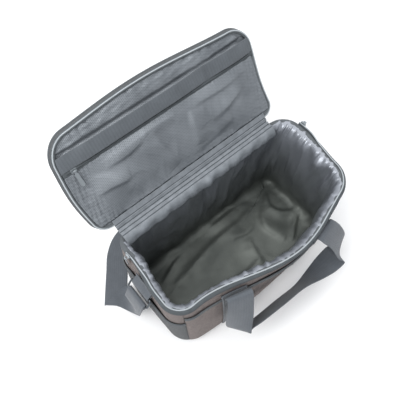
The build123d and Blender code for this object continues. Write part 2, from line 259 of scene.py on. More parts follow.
def creases(x, y, seed, size, count=5, spread=np.pi, lean=0.0):
    """Sharp folds of thin film about 1 high: ridges where seeded, wandering waves cross zero."""
    draw = np.random.default_rng(seed)
    wander_x = ripples(x, y, seed + 50, 2.6 * size, 5) * size * 0.35
    wander_y = ripples(x, y, seed + 90, 2.6 * size, 5) * size * 0.35
    total = 0
    for k in range(count):
        angle = lean + draw.uniform(-0.5, 0.5) * spread
        length = size * draw.uniform(0.8, 1.9)
        along = (x + wander_x) * np.cos(angle) + (y + wander_y) * np.sin(angle)
        wave = np.sqrt(np.sin(np.pi * along / length + draw.uniform(0, np.pi)) ** 2 + 0.012)
        fade = 0.5 + 0.5 * np.tanh(1.5 * ripples(x, y, seed + k, 3 * size, 4))
        total = total + fade * np.clip(1.08 - wave, 0, None) ** 1.7
    return total / math.sqrt(count)


def curve(points, n):
    """Smooth line through a few points (Catmull-Rom), n points evenly spaced along it."""
    p = np.asarray(points, float)
    p = np.concatenate([2 * p[:1] - p[1:2], p, 2 * p[-1:] - p[-2:-1]])
    t = np.linspace(0, len(p) - 3 - 1e-9, 24 * len(p))
    k, f = t.astype(int), (t - t.astype(int))[:, None]
    a, b, c, d = p[k], p[k + 1], p[k + 2], p[k + 3]
    line = 0.5 * (2 * b + (c - a) * f + (2 * a - 5 * b + 4 * c - d) * f**2 + (3 * b - a - 3 * c + d) * f**3)
    walked = np.r_[0, np.cumsum(np.linalg.norm(np.diff(line[:, :3], axis=0), axis=1))]
    even = np.linspace(0, walked[-1], n)
    return np.stack([np.interp(even, walked, line[:, i]) for i in range(p.shape[1])], 1)


def skin(name, points, uv, material, thickness=0.0, wrap=False, caps=False, join_rows=False,
         flip=False):
    """Mesh of a grid of points in mm, (rows, columns, 3), with uv in mm on each corner. wrap joins the last
    column to the first, which it repeats; join_rows does so for the rows; flip turns the sheet over; caps
    closes both ends of a wrapped grid; thickness turns the sheet into a cloth with its back inwards."""
    if flip:
        points, uv = points[:, ::-1], uv[:, ::-1]
    rows, columns = points.shape[:2]
    index = np.arange(rows * columns).reshape(rows, columns)
    if wrap:
        index[:, -1] = index[:, 0]
    if join_rows:
        index[-1] = index[0]
    used, flat = np.unique(index, return_inverse=True)
    index = flat.reshape(rows, columns)
    quads = np.stack([index[:-1, :-1], index[:-1, 1:], index[1:, 1:], index[1:, :-1]], -1).reshape(-1, 4)
    corner_uv = np.stack([uv[:-1, :-1], uv[:-1, 1:], uv[1:, 1:], uv[1:, :-1]], 2).reshape(-1, 2)
    faces = quads.tolist()
    if caps:
        faces += [index[0, :-1][::-1].tolist(), index[-1, :-1].tolist()]
        corner_uv = np.concatenate([corner_uv, uv[0, :-1][::-1], uv[-1, :-1]])
    mesh = bpy.data.meshes.new(name)
    mesh.from_pydata((points.reshape(-1, 3)[used] * mm).tolist(), [], faces)
    layer = mesh.uv_layers.new(name="cloth")
    layer.data.foreach_set("uv", (corner_uv * mm).astype(np.float32).ravel())
    mesh.polygons.foreach_set("use_smooth", np.ones(len(faces), bool))
    mesh.materials.append(material)
    made = bpy.data.objects.new(name, mesh)
    scene.collection.objects.link(made)
    if thickness:
        solid = made.modifiers.new("thickness", "SOLIDIFY")
        solid.thickness = thickness * mm
        solid.offset = -1
        solid.use_even_offset = False
    return made


def grid_uv(points):
    """(run along the rows' direction, run along the columns' direction) at each point of a grid, in mm."""
    across = np.linalg.norm(np.diff(points, axis=1), axis=-1).mean(0)
    down = np.linalg.norm(np.diff(points, axis=0), axis=-1).mean(1)
    u, v = np.meshgrid(np.r_[0, np.cumsum(across)], np.r_[0, np.cumsum(down)])
    return np.stack([u, v], -1)


# ---------------------------------------------------------------------------------------------
# Shading and stitching that the pieces share. Patterns are sized in mm, on the cloth's own map or in the
# object's space. Seams are lockstitch in dark polyester thread, one bead a stitch, just proud of the cloth.
# ---------------------------------------------------------------------------------------------


def cloth_map(tree):
    """The piece's own map, in metres of cloth."""
    return node(tree, "UVMap", {}, uv_map="cloth").outputs["UV"]


def place_of(tree):
    """The shaded point in the object's own space."""
    return node(tree, "TexCoord", {}).outputs["Object"]


def noise(tree, vector, size_mm, **more):
    """Cloudy noise of a size in mm."""
    return node(tree, "TexNoise", {"Vector": vector, "Scale": 1 / size_mm / mm, **more}).outputs[0]


def stripes(tree, vector, pitch_mm, distortion, direction, **more):
    """Waves of a pitch in mm along X or Y."""
    sockets = {"Vector": vector, "Scale": 0.314 / pitch_mm / mm, "Distortion": distortion, **more}
    return node(tree, "TexWave", sockets, bands_direction=direction).outputs["Fac"]


def ranged(tree, value, low, high, to_low=0.0, to_high=1.0):
    """A value carried from one range to another, and kept inside it."""
    return node(tree, "MapRange", {0: value, 1: low, 2: high, 3: to_low, 4: to_high}).outputs[0]


def mixed(tree, share, first, second):
    """A colour between two others."""
    return node(tree, "MixRGB", {0: share, 1: first, 2: second}).outputs[0]


def sum_of(tree, first, second):
    """Two values added."""
    return node(tree, "Math", {0: first, 1: second}, operation="ADD").outputs[0]


def shaded(tree, colour, shade):
    """A hex colour made lighter or darker by a factor."""
    return node(tree, "VectorMath", {0: srgb(colour)[:3], "Scale": shade}, operation="SCALE").outputs[0]


def bumped(tree, height, strength, depth_mm):
    """A normal bent by a height."""
    return node(tree, "Bump", {"Strength": strength, "Distance": depth_mm * mm, "Height": height}).outputs[0]


thread, tree, shader = new_material("polyester_sewing_thread")
strand = bumped(tree, noise(tree, place_of(tree), 0.6), 0.4, 0.1)
plug(tree, shader, {"Base Color": srgb("#43474b"), "Roughness": 0.7, "Normal": strand})


def stitches(name, lines, body, pitch=3.6, half=(1.25, 0.42, 0.35)):
    """Rows of lockstitch in one mesh: an eight-sided bead per stitch, along each (line, facing) pair."""
    spots = []
    for line, facing in lines:
        walked = np.r_[0, np.cumsum(np.linalg.norm(np.diff(line, axis=0), axis=1))]
        places = np.arange(pitch / 2, walked[-1], pitch)
        at = np.stack([np.interp(places, walked, line[:, i]) for i in range(3)], 1)
        out = np.stack([np.interp(places, walked, facing[:, i]) for i in range(3)], 1)
        ahead = np.gradient(line, axis=0)
        ahead = np.stack([np.interp(places, walked, ahead[:, i]) for i in range(3)], 1)
        ahead /= np.linalg.norm(ahead, axis=1, keepdims=True)
        out -= (out * ahead).sum(1, keepdims=True) * ahead
        out /= np.linalg.norm(out, axis=1, keepdims=True)
        beside = np.cross(out, ahead)
        axes = ((ahead, half[0]), (beside, half[1]), (out, half[2]))
        spots.append(np.stack([at + sign * size * axis for axis, size in axes for sign in (1, -1)], 1))
    beads = np.concatenate(spots)
    sides = ((0, 2, 4), (0, 5, 2), (0, 4, 3), (0, 3, 5), (1, 4, 2), (1, 2, 5), (1, 3, 4), (1, 5, 3))
    faces = [tuple(6 * k + i for i in side) for k in range(len(beads)) for side in sides]
    mesh = bpy.data.meshes.new(name)
    mesh.from_pydata((beads.reshape(-1, 3) * mm).tolist(), [], faces)
    mesh.materials.append(thread)
    made = bpy.data.objects.new(name, mesh)
    scene.collection.objects.link(made)
    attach(made, body)


def facing_of(points):
    """Unit normals of a grid of points, as (row direction) x (column direction)."""
    normal = np.cross(np.gradient(points, axis=1), np.gradient(points, axis=0))
    return normal / np.linalg.norm(normal, axis=-1, keepdims=True)


# ---------------------------------------------------------------------------------------------
# Cover: four sides of polyester heather sewn together at the corners, over a sewn-in floor sheet.
# The cloth is woven from light and dark melange yarns, so it shows short level streaks of both.
# ---------------------------------------------------------------------------------------------
cover_t = 1.5
bottom_r = 24.0
cover_top = rim_h - 6


def heather(name, light, dark, fleck, streak_mm, thread_mm, contrast):
    """Matt melange cloth: streaks of two yarn colours along u, a thread each along v, and a woven bump."""
    material, tree, shader = new_material(name)
    uv = cloth_map(tree)
    per_mm = (1 / streak_mm / mm, 1 / thread_mm / mm, 1)
    stretched = node(tree, "Mapping", {"Vector": uv, "Scale": per_mm}).outputs[0]
    sockets = {"Vector": stretched, "Scale": 1.0, "Detail": 2.0, "Roughness": 0.65}
    streaks = node(tree, "TexNoise", sockets).outputs[0]
    tone = ranged(tree, streaks, 0.5 - 0.5 / contrast, 0.5 + 0.5 / contrast)
    worn = ranged(tree, noise(tree, uv, 55, Detail=2.0), 0.35, 0.75, 0.0, 0.25)
    colour = mixed(tree, worn, mixed(tree, tone, srgb(dark), srgb(light)), srgb(fleck))
    weft = stripes(tree, uv, thread_mm, 1.5, "Y", Detail=2.0)
    warp = stripes(tree, uv, thread_mm, 1.5, "X", Detail=2.0)
    raised = sum_of(tree, sum_of(tree, weft, warp), streaks)
    plug(tree, shader, {"Base Color": colour, "Normal": bumped(tree, raised, 0.3, 0.25), "Roughness": 0.88,
                        "Sheen Weight": 0.04, "Sheen Roughness": 0.5, "Specular IOR Level": 0.25})
    return material


taupe_heather = heather("taupe_polyester_heather", "#8f8581", "#463e3d", "#6b6260", 9.0, 0.8, 2.3)
grey_heather = heather("grey_polyester_heather", "#66686a", "#3a3c3d", "#515354", 6.0, 0.8, 2.2)


def rise_of(d):
    """(inset from the plan, height) d mm up from the floor: a quarter circle, then straight up."""
    arc = bottom_r * np.pi / 2
    angle = np.clip(d / bottom_r, 0, np.pi / 2)
    return bottom_r * (1 - np.sin(angle)), bottom_r * (1 - np.cos(angle)) + np.clip(d - arc, 0, None) + 0.6


def side_skin(side, out, top, rows, columns, crown=2.2, trim=0.0, low=0.0):
    """Grid over one side of the bag, from the floor up to a height, standing out from the plan. Its edges
    tuck into the seams by the crown; trim draws both sides in, and low starts it that far up."""
    start, end = seams[side]
    height = top - bottom_r + bottom_r * np.pi / 2 - 0.6
    across, d = np.meshgrid(np.linspace(0, 1, columns), np.linspace(low, height, rows))
    inset, z = rise_of(d)
    tuck = crown * (1 - np.abs(2 * across - 1) ** 14)
    s = start + (end - start) * (trim + (1 - 2 * trim) * across)
    swell = 0.7 * ripples(s * 1200, z, 7, 85) * smooth(z / 60) * smooth((top + 6 - z) / 40)
    return wall_point(s, z, out + tuck - crown + swell - inset), s, z


for side in ("front", "left", "right", "back"):
    rows, columns = 48, (120 if side in ("front", "back") else 70)
    points, s, z = side_skin(side, 0.4, cover_top, rows, columns)
    panel = skin(side + "_cover", points, grid_uv(points), taupe_heather, cover_t)
    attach(panel, "root")
    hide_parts(side + "_panel")


def square_walk(n):
    """Square grid of rings: each node's ring radius, 0 in the middle and 1 at the edge, and its place round
    the edge, 0 to 8."""
    a, b = np.meshgrid(np.linspace(-1, 1, n), np.linspace(-1, 1, n))
    r = np.maximum(np.abs(a), np.abs(b))
    safe = np.where(r == 0, 1, r)
    x, y = a / safe, b / safe
    q = np.where(y >= 0.999999, np.where(x <= 0, -x, 8 - x), 0)
    q = np.where((x <= -0.999999) & (y < 0.999999), 2 - y, q)
    q = np.where((y <= -0.999999) & (x > -0.999999), 4 + x, q)
    return r, np.where((x >= 0.999999) & (np.abs(y) < 0.999999), 6 + y, q)


def corner_shares(walk):
    """The walk's shares at the middles of its four corners, with both ends."""
    s, x, y = walk
    mid = 0.5 * (y.max() + y.min())
    reach = np.abs(x) / np.abs(x).max() + np.abs(y - mid) / np.abs(y - mid).max()
    found = [s[(x * sx > 0) & ((y - mid) * sy > 0)][np.argmax(reach[(x * sx > 0) & ((y - mid) * sy > 0)])]
             for sx, sy in ((-1, 1), (-1, -1), (1, -1), (1, 1))]
    return [0, 1, 3, 5, 7, 8], [0, *found, 1]


def floor_plate(inset, height):
    """Level plate over the bag's plan, drawn in by inset."""
    ring, place = square_walk(61)
    s = np.interp(place, *corner_shares(body_walk))
    points = wall_point(s, 0 * s, -inset + 0 * s) * ring[..., None]
    points[..., 2] = height
    return points


points = floor_plate(bottom_r, 0.5)
underside = skin("floor_sheet", points, points[..., :2], grey_heather, cover_t, flip=True)
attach(underside, "root")
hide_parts("base_panel")

# ---------------------------------------------------------------------------------------------
# Foam: closed-cell polyethylene board between cover and liner, one piece to a side and one on the floor.
# It isn't seen from outside; each side follows its cover at the same lean.
# ---------------------------------------------------------------------------------------------
foam_t = 11.0
foam_white, tree, shader = new_material("closed_cell_pe_foam")
cells = node(tree, "TexVoronoi", {"Vector": place_of(tree), "Scale": 1 / 2.5 / mm}).outputs[0]
pores = bumped(tree, cells, 0.35, 0.4)
plug(tree, shader, {"Base Color": srgb("#e4e6e4"), "Roughness": 0.75, "Normal": pores})

for side in ("front", "left", "right", "back"):
    points, s, z = side_skin(side, -cover_t - 0.6, cover_top - 4, 30, 60, trim=0.01, low=bottom_r * 1.15)
    board = skin(side + "_foam_board", points, grid_uv(points), foam_white, foam_t)
    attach(board, "root")
    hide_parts(side + "_foam")

points = floor_plate(bottom_r + 6, box_mm("base_foam")[1][2] - 0.5)
board = skin("floor_foam_board", points, points[..., :2], foam_white, 8.5)
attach(board, "root")
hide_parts("base_foam")

# ---------------------------------------------------------------------------------------------
# Outer pockets: a taupe patch pocket on the front and a grey one on each end, each with a bound mouth.
# They are sewn into the corner seams and stand a few mm off the bag, most at the middle of the mouth.
# ---------------------------------------------------------------------------------------------
binding_w = 3.4
binding_h = 10.0


def pocket_out(side, share, z):
    """How far a pocket's cloth stands off the plan: 1.3 at its seams, and up to its gap more between."""
    start, end = seams[side]
    across = np.clip((share - start) / (end - start), 0, 1)
    gap = {"front": 2.6, "left": 3.6, "right": 3.6}[side]
    return 1.3 + gap * (4 * across * (1 - across)) ** 0.45 * smooth((z - 8) / 90)


def band_ring(centre, out_dir, up_dir, half_w, half_h, columns=14, square=0.55):
    """Closed band along a line. Its section is a rounded box: x = w sgn(cos) |cos|^square, and so for h."""
    angle = np.linspace(0, -2 * np.pi, columns)
    c, k = np.cos(angle), np.sin(angle)
    w = half_w * np.sign(c) * np.abs(c) ** square
    h = half_h * np.sign(k) * np.abs(k) ** square
    return centre[:, None] + w[None, :, None] * out_dir[:, None] + h[None, :, None] * up_dir[:, None]


def cloth_tape(name, colour, rib_mm, roughness=0.8):
    """Woven tape: fine ribs across its length on its own map, a little uneven in shade, matt."""
    material, tree, shader = new_material(name)
    uv = cloth_map(tree)
    shade = ranged(tree, noise(tree, uv, 14, Detail=3.0), 0.3, 0.7, 0.82, 1.12)
    bump = bumped(tree, stripes(tree, uv, rib_mm, 0.6, "Y"), 0.5, 0.3)
    plug(tree, shader, {"Base Color": shaded(tree, colour, shade), "Normal": bump, "Roughness": roughness,
                        "Specular IOR Level": 0.3})
    return material


edge_tape = cloth_tape("grosgrain_edge_tape", "#5a5e61", 1.8)

for side, cloth in (("front", taupe_heather), ("left", grey_heather), ("right", grey_heather)):
    top = box_mm(side + "_pocket")[1][2]
    rows, columns = 44, (120 if side == "front" else 70)
    points, s, z = side_skin(side, 0.6, top + 3, rows, columns, crown=1.2)
    points = points + wall_point(s, z, pocket_out(side, s, z)) - wall_point(s, z, 0 * s)
    patch = skin(side + "_patch_pocket", points, grid_uv(points), cloth, 1.2)
    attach(patch, "root")
    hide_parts(side + "_pocket")
    line = points[-1] - [0, 0, 3]
    s, z = s[-1], z[-1]
    outward = wall_point(s, z, 1 + 0 * s) - wall_point(s, z, 0 * s)
    sag = -1.6 * hump((s - s.mean()) / np.ptp(s) * 2)[:, None] * [0, 0, 1]
    upward = np.array([[0, 0, 1.0]]) + 0 * outward
    points = band_ring(line + sag - outward * 0.6, outward, upward, binding_w / 2, binding_h / 2)
    trim = skin(side + "_pocket_edge", points, grid_uv(points), edge_tape, wrap=True, caps=True)
    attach(trim, "root")
    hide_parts(side + "_pocket_binding")

# ---------------------------------------------------------------------------------------------
# Rim: a bound lip over cover, foam and liner, with half of the coil zip sewn round the front and ends.
# The zip's tape lies over the lip and leans inwards, so its coil runs along the middle of the lip.
# ---------------------------------------------------------------------------------------------
rim_columns = 520
lip = np.array([
    (-1.0, 217), (-0.2, 220), (0.4, 224), (-0.4, 227.4), (-2.6, 228.6), (-6, 228.8), (-8.6, 228.0),
    (-10.2, 226.5), (-10.5, 222), (-9.8, 218), (-6, 216), (-3.5, 215.6), (-1.0, 217),
])


def section_round(s, section, lift=0.0, peel=0.0):
    """A section of (out, height) points carried round the plan; lift moves it up at each share,
    and where peel is 1 what leans inwards stands upright instead."""
    out, height = section[:, 0][None, :], section[:, 1][None, :]
    share = np.broadcast_to(s[:, None], (len(s), section.shape[0]))
    upright = np.broadcast_to(np.asarray(peel), s.shape)[:, None]
    leaning = np.where(out < 0, out * (1 - 0.95 * upright), out)
    grid = wall_point(share, height + 0 * share, leaning + 0 * share)
    grid[..., 2] += np.broadcast_to(np.asarray(lift), s.shape)[:, None]
    return grid


def rim_lift(s):
    """Height of the soft rim over its level at each share: a slow unevenness of the lip, in mm."""
    return 1.1 * ripples(np.cos(2 * np.pi * s) * 260, np.sin(2 * np.pi * s) * 260, 21, 170)


s = np.linspace(0, 1, rim_columns)
points = section_round(s, lip, rim_lift(s))
rim = skin("rim_lip", points, grid_uv(points), edge_tape, wrap=True, join_rows=True, flip=True)
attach(rim, "root")
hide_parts("rim_binding")

zip_end_y = box_mm("body_zip_tape")[1][1]
zip_side = body_walk[0] < 0.35
zip_start = float(np.interp(-zip_end_y, -body_walk[2][zip_side], body_walk[0][zip_side]))
zip_share = np.linspace(zip_start, 1 - zip_start, 900)
tape_path = np.array([
    (1.1, 221.5), (1.4, 223.5), (1.5, 226), (0.5, 228.8), (-1.8, 230.4), (-4.2, 231.4), (-4.4, 230.4),
    (-2.0, 229.4), (-0.3, 227.8), (0.6, 225.4), (0.5, 223.5), (0.3, 221.5), (1.1, 221.5),
])
zip_tape = cloth_tape("woven_zip_tape", "#4d5255", 1.5)
peel_mm = 46.0


def zip_peel(s):
    """1 at both ends of the zip, where the slider pulls the loose tape upright, falling to 0 along it."""
    return smooth(1.6 - np.minimum(s - zip_start, 1 - zip_start - s) * rim_girth / peel_mm)


points = section_round(zip_share, tape_path, rim_lift(zip_share), zip_peel(zip_share))
seam_share = zip_share[4:-4]
rim_seam = section_round(seam_share, np.array([(1.75, 224.5), (2.75, 224.5)]), rim_lift(seam_share), 0)
stitches("rim_tape_seam", [(rim_seam[:, 0], rim_seam[:, 1] - rim_seam[:, 0])], "root")
tape = skin("rim_zip_tape", points, grid_uv(points), zip_tape, wrap=True, caps=True, flip=True)
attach(tape, "root")
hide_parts("body_zip_tape")


def coil_tube(line, out_dir, up_dir, length, turn_mm, half_w, half_h, columns=9):
    """Zip coil along a line: an oval tube that swells and falls once in each turn, as moulded teeth do."""
    walked = np.linspace(0, length, len(line))
    swell = 1 + 0.34 * np.sin(2 * np.pi * walked / turn_mm)[:, None]
    angle = np.linspace(0, -2 * np.pi, columns)[None, :]
    w, h = half_w * swell * np.cos(angle), half_h * swell * np.sin(angle)
    return line[:, None] + w[..., None] * out_dir[:, None] + h[..., None] * up_dir[:, None]


def run_length(line):
    """Length of a line of points."""
    return float(np.linalg.norm(np.diff(line, axis=0), axis=1).sum())


coil_nylon, tree, shader = new_material("moulded_nylon_coil")
rough = bumped(tree, noise(tree, place_of(tree), 3), 0.2, 0.2)
plug(tree, shader, {"Base Color": srgb("#a9afb3"), "Roughness": 0.3, "Specular IOR Level": 0.6,
                    "Normal": rough})

tooth_mm = 2.2
s = np.linspace(zip_start, 1 - zip_start, 2600)
coil_line = section_round(s, np.array([(-5.0, 231.6)]), rim_lift(s), zip_peel(s))[:, 0]
outward = wall_point(s, 230 + 0 * s, 1 + 0 * s) - wall_point(s, 230 + 0 * s, 0 * s)
upward = np.array([[0, 0, 1.0]]) + 0 * outward
points = coil_tube(coil_line, outward, upward, run_length(coil_line), tooth_mm, 1.25, 0.95)
coil = skin("rim_zip_coil", points, grid_uv(points), coil_nylon, wrap=True, caps=True)
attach(coil, "root")
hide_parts("body_zip_coil")

# ---------------------------------------------------------------------------------------------
# Liner: one welded basin of aluminised film, larger than the space it sits in, so it falls into creases. It
# is gathered under the rim lip all round, pleats down from there and lies rumpled on the floor.
# ---------------------------------------------------------------------------------------------
film, tree, shader = new_material("aluminised_peva_film")
local = place_of(tree)
fine = noise(tree, local, 9, Detail=5.0, Roughness=0.6, Distortion=0.8)
shade = ranged(tree, noise(tree, local, 70, Detail=2.0), 0.35, 0.65)
level = node(tree, "SeparateXYZ", {"Vector": local}).outputs["Z"]
# Painted shade and highlight: the film's colour darkens towards the floor of the basin and lightens up by
# the mouth, by height alone.
painted_shade_rise = ranged(tree, level, 25 * mm, 200 * mm)
tint = mixed(tree, painted_shade_rise, mixed(tree, shade, srgb("#494d4a"), srgb("#5b5f5b")), srgb("#868a91"))
dull = ranged(tree, level, 25 * mm, 200 * mm, 0.54, 0.32)
crinkle = bumped(tree, fine, 0.5, 0.8)
plug(tree, shader, {"Base Color": tint, "Roughness": dull, "Metallic": 0.5, "Normal": crinkle})


def fold(x, y, path, width, height):
    """A fold along a line of points in plan: steep on one side, easy on the other, fading out at both ends.
    Its profile is height exp(-(d / w)^2), with w a third as wide on the steep side; a negative height swaps
    the sides."""
    line = curve(path, 50)
    gap = np.stack([x, y], -1)[..., None, :] - line
    nearest = (gap**2).sum(-1).argmin(-1)
    off = np.take_along_axis(gap, nearest[..., None, None], -2)[..., 0, :]
    ahead = np.gradient(line, axis=0)[nearest]
    side = (ahead[..., 0] * off[..., 1] - ahead[..., 1] * off[..., 0]) * np.sign(height)
    reach = width * np.where(side > 0, 0.33, 1.0)
    fade = np.sin(np.pi * (nearest + 0.5) / 50) ** 0.6
    return abs(height) * fade * np.exp(-(off**2).sum(-1) / reach**2)


basin_n = 231
floor_ring = 0.36
floor_top = box_mm("base_foam")[1][2] + 1.5
liner_inset = 17.0
ring, place = square_walk(basin_n)
s = np.interp(place, *corner_shares(body_walk))
w = 1 - (1 - np.clip((ring - floor_ring) / (1 - floor_ring), 0, 1)) ** 1.5
wall_h = rim_h - floor_top
depth = (1 - w) * wall_h
toe_r = 15.0 + 5.0 * ripples(s * rim_girth, 0 * s, 17, 190, 5)
toe = np.clip((toe_r - (wall_h - depth)) / toe_r, 0, 1)
toe_in = toe_r * (1 - np.sqrt(1 - toe**2))
inset = liner_inset + toe_in - (liner_inset - 4.6) * np.exp(-depth / 4.0)
z = floor_top + wall_h * w
around = s * rim_girth
pucker = 2.2 * ripples(around, 0.3 * depth, 5, 13, 9) + 4.2 * creases(around, 0.5 * depth, 6, 12, 5, 0.7)
rim_pleats = pucker * np.exp(-depth / 15) * smooth(depth / 6)
pleats = rim_pleats + 1.5 * ripples(around, 0.4 * depth, 8, 48, 6) * smooth(depth / 20)
drapes = 5.0 * creases(around, 0.7 * depth, 12, 60, 5, 1.2) * smooth(depth / 25)
folds = drapes + 3.0 * ripples(around, depth, 13, 110) * smooth(depth / 60)
behind = inset + pleats + folds * smooth((ring - floor_ring) / 0.2)
walls = wall_point(s, z, -np.maximum(behind, np.minimum(inset, 15)))
top_lift = rim_lift(s) + 0.5 * ripples(around, 0 * around, 33, 16, 6)
walls[..., 2] = z + top_lift * np.exp(-depth / 8) - 1.6 * np.exp(-depth / 1.5)
share = np.clip(ring / floor_ring, 0, 1)
floor_edge = wall_point(s, floor_top + 0 * s, -(liner_inset + toe_r + 0 * s))
flat = np.where((ring > floor_ring)[..., None], walls, floor_edge * share[..., None])
x, y = flat[..., 0], flat[..., 1]
floor_folds = [
    ([(-150, 10), (-95, 20), (-22, 32), (60, 34), (112, 42)], 30, 8.0),
    ([(-28, 80), (30, 66), (84, 70)], 20, 6.0),
    ([(-160, 92), (-110, 78), (-60, 72)], 18, 5.0),
    ([(140, 30), (112, 2), (106, -23), (120, -70)], 24, -8.0),
    ([(165, 48), (150, 20), (160, -10), (196, -34)], 15, 6.0),
    ([(196, -34), (160, -58), (126, -84)], 11, 5.0),
    ([(196, -34), (206, 6), (200, 50)], 12, 5.0),
    ([(198, -36), (200, -62), (190, -84)], 9, 5.0),
    ([(52, -8), (42, -45), (34, -84)], 18, 4.5),
    ([(-172, 34), (-128, 52), (-96, 60)], 13, 4.0),
    ([(-60, -58), (-10, -70), (50, -66)], 22, 3.5),
    ([(88, 8), (60, 2), (20, 14)], 12, 3.0),
]
rumple = 1.3 * ripples(x, y, 3, 90) + 1.2 * creases(x, y, 14, 34, 5, 2.4, 0.5)
for path, width, height in floor_folds:
    rumple = rumple + fold(x, y, path, width, height)
on_floor = 1 - smooth((ring - floor_ring) / 0.1)
floor_z = np.where(ring > floor_ring, flat[..., 2], floor_top)
flat[..., 2] = floor_z + np.clip(rumple + 2.0, 0, None) * on_floor
liner = skin("gathered_liner", flat, flat[..., :2], film, 0.9)
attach(liner, "root")
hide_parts("liner")

# ---------------------------------------------------------------------------------------------
# Lid: a foam board between a heather top and a silvery lining, closed in by a side band and a piped edge.
# Its own plan is drawn from the hinge outwards and turned open with the lid's rest angle.
# ---------------------------------------------------------------------------------------------
lid_open = -math.radians(next(j for j in frame["joints"] if j["name"] == "lid_hinge")["range_deg"][0])
hinge_y, hinge_h = back_y, rim_h + 2
lid_near, lid_far = 13.5, 206.0
lid_walk = round_corners(half_length, lid_near, lid_far, 27, 42)


def lid_place(x, v, h):
    """Point of the lid at rest: v mm out from the hinge and h mm above the closed lid's underside."""
    c, k = math.cos(lid_open), math.sin(lid_open)
    return np.stack([x + 0 * v, hinge_y - v * c + h * k, hinge_h + v * k + h * c], -1)


def lid_bow(x, v):
    """The lid's edge is a little out of true: left end bowed out, right end drawn in, far side an arc."""
    dx = -9.5 * smooth((-x - 120) / 80) * hump((v - 95) / 115)
    dx = dx - 6.0 * smooth((x - 120) / 80) * hump((v - 85) / 95) - 3 * smooth((x - 120) / 80)
    return dx, 13.5 * smooth((v - 120) / 80) * hump((x + 25) / 235)


def lid_line(s):
    """Plan point of the lid's edge at share s of its walk."""
    s = np.mod(s, 1.0)
    x, v = np.interp(s, lid_walk[0], lid_walk[1]), np.interp(s, lid_walk[0], lid_walk[2])
    dx, dv = lid_bow(x, v)
    return x + dx, v + dv


def lid_edge(s, h, out=0.0):
    """Point on the lid's rim at share s and height h, moved out from its edge in the lid's plane."""
    step = 2e-3
    (xa, va), (xb, vb) = lid_line(s + step), lid_line(s - step)
    length = np.hypot(xa - xb, va - vb)
    x, v = lid_line(s)
    return lid_place(x + out * (va - vb) / length, v - out * (xa - xb) / length, h + 0 * x)


def lid_section(s, section, lift=0.0):
    """A section of (out, height) points carried round the lid's edge."""
    share = np.broadcast_to(s[:, None], (len(s), section.shape[0]))
    return lid_edge(share, section[:, 1][None, :] + 0 * share + np.broadcast_to(lift, s.shape)[:, None],
                    section[:, 0][None, :] + 0 * share)


def lid_plate(n, inset, height):
    """Square grid over the lid's plan, drawn in by inset: points, ring radius, x and v. height is a function
    of the last three."""
    ring, place = square_walk(n)
    s = np.interp(place, *corner_shares(lid_walk))
    x, v = lid_line(s)
    mid = 0.5 * (lid_near + lid_far)
    edge = lid_edge(s, 0 * s, -inset + 0 * s)
    flat_x = edge[..., 0] * ring
    edge_v = (edge[..., 1] - hinge_y) * -math.cos(lid_open) + (edge[..., 2] - hinge_h) * math.sin(lid_open)
    flat_v = mid + (edge_v - mid) * ring
    return lid_place(flat_x, flat_v, height(ring, flat_x, flat_v)), ring, flat_x, flat_v


lid_ring = np.linspace(0, 1, 420)
side_section = np.array([
    (0.2, 5.0), (0.9, 7.5), (1.1, 11), (0.7, 14.2), (-1.2, 15.4),
    (-2.4, 14), (-2.2, 10), (-1.8, 5.2), (-0.8, 4.4), (0.2, 5.0),
])
points = lid_section(lid_ring, side_section)
band = skin("lid_edge_band", points, grid_uv(points), grey_heather, wrap=True, join_rows=True)
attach(band, "lid")
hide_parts("lid_side_band")

angle = np.linspace(0, 2 * np.pi, 11)
round_section = np.stack([0.9 + 2.0 * np.cos(angle), 15.9 + 2.0 * np.sin(angle)], 1)
points = lid_section(lid_ring, round_section)
piping = skin("lid_edge_piping", points, grid_uv(points), edge_tape, wrap=True, join_rows=True)
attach(piping, "lid")
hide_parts("lid_piping")


def lid_dome(r, x, v):
    """Height of the lid's top: domed, and slowly uneven inside its edge."""
    return 15.4 + 4.2 * (1 - r**2.2) + 0.6 * ripples(x, v, 61, 80) * (1 - r**4)


points, ring, x, v = lid_plate(101, 0.6, lid_dome)
top = skin("lid_top_cloth", points, np.stack([x, v], -1), taupe_heather, cover_t, flip=True)
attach(top, "lid")
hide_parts("lid_top_panel")

points, ring, x, v = lid_plate(41, 3.4, lambda r, x, v: 14.0 + 4.0 * (1 - r**2.2))
board = skin("lid_foam_board", points, np.stack([x, v], -1), foam_white, 6.0, flip=True)
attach(board, "lid")
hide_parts("lid_foam")

# The lid's half of the zip: a mid-grey tape sewn inside the edge, with its coil outwards at the rim.
lid_zip_start = 0.345
lid_zip = np.linspace(-lid_zip_start, lid_zip_start, 700)
lid_tape_section = np.array([(-2.6, 1.0), (-4.2, 1.2), (-5.6, 2.2), (-7.0, 3.4), (-7.0, 4.4), (-5.2, 3.4),
                             (-3.8, 2.4), (-0.4, 5.2), (0.3, 4.6), (-2.6, 2.0), (-2.6, 1.0)])
lid_tape_grey = cloth_tape("woven_zip_tape_light", "#5c6164", 1.5)
points = lid_section(lid_zip, lid_tape_section)
tape = skin("lid_tape", points, grid_uv(points), lid_tape_grey, wrap=True, caps=True, flip=True)
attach(tape, "lid")
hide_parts("lid_zip_tape")

s = np.linspace(-lid_zip_start, lid_zip_start, 2400)
line = lid_edge(s, 1.4 + 0 * s, -2.2 + 0 * s)
outward = lid_edge(s, 0 * s, 1 + 0 * s) - lid_edge(s, 0 * s, 0 * s)
upward = lid_edge(s, 1 + 0 * s, 0 * s) - lid_edge(s, 0 * s, 0 * s)
points = coil_tube(line, outward, upward, run_length(line), tooth_mm, 1.2, 0.9)
coil = skin("lid_coil", points, grid_uv(points), coil_nylon, wrap=True, caps=True, flip=True)
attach(coil, "lid")
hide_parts("lid_zip_coil")

# Lining and pocket: silver-coated polyester with a small pressed diamond, stretched over the foam and
# puckered at its seam. The pocket is a second sheet of it, cut longer than its seams, so it hangs slack.


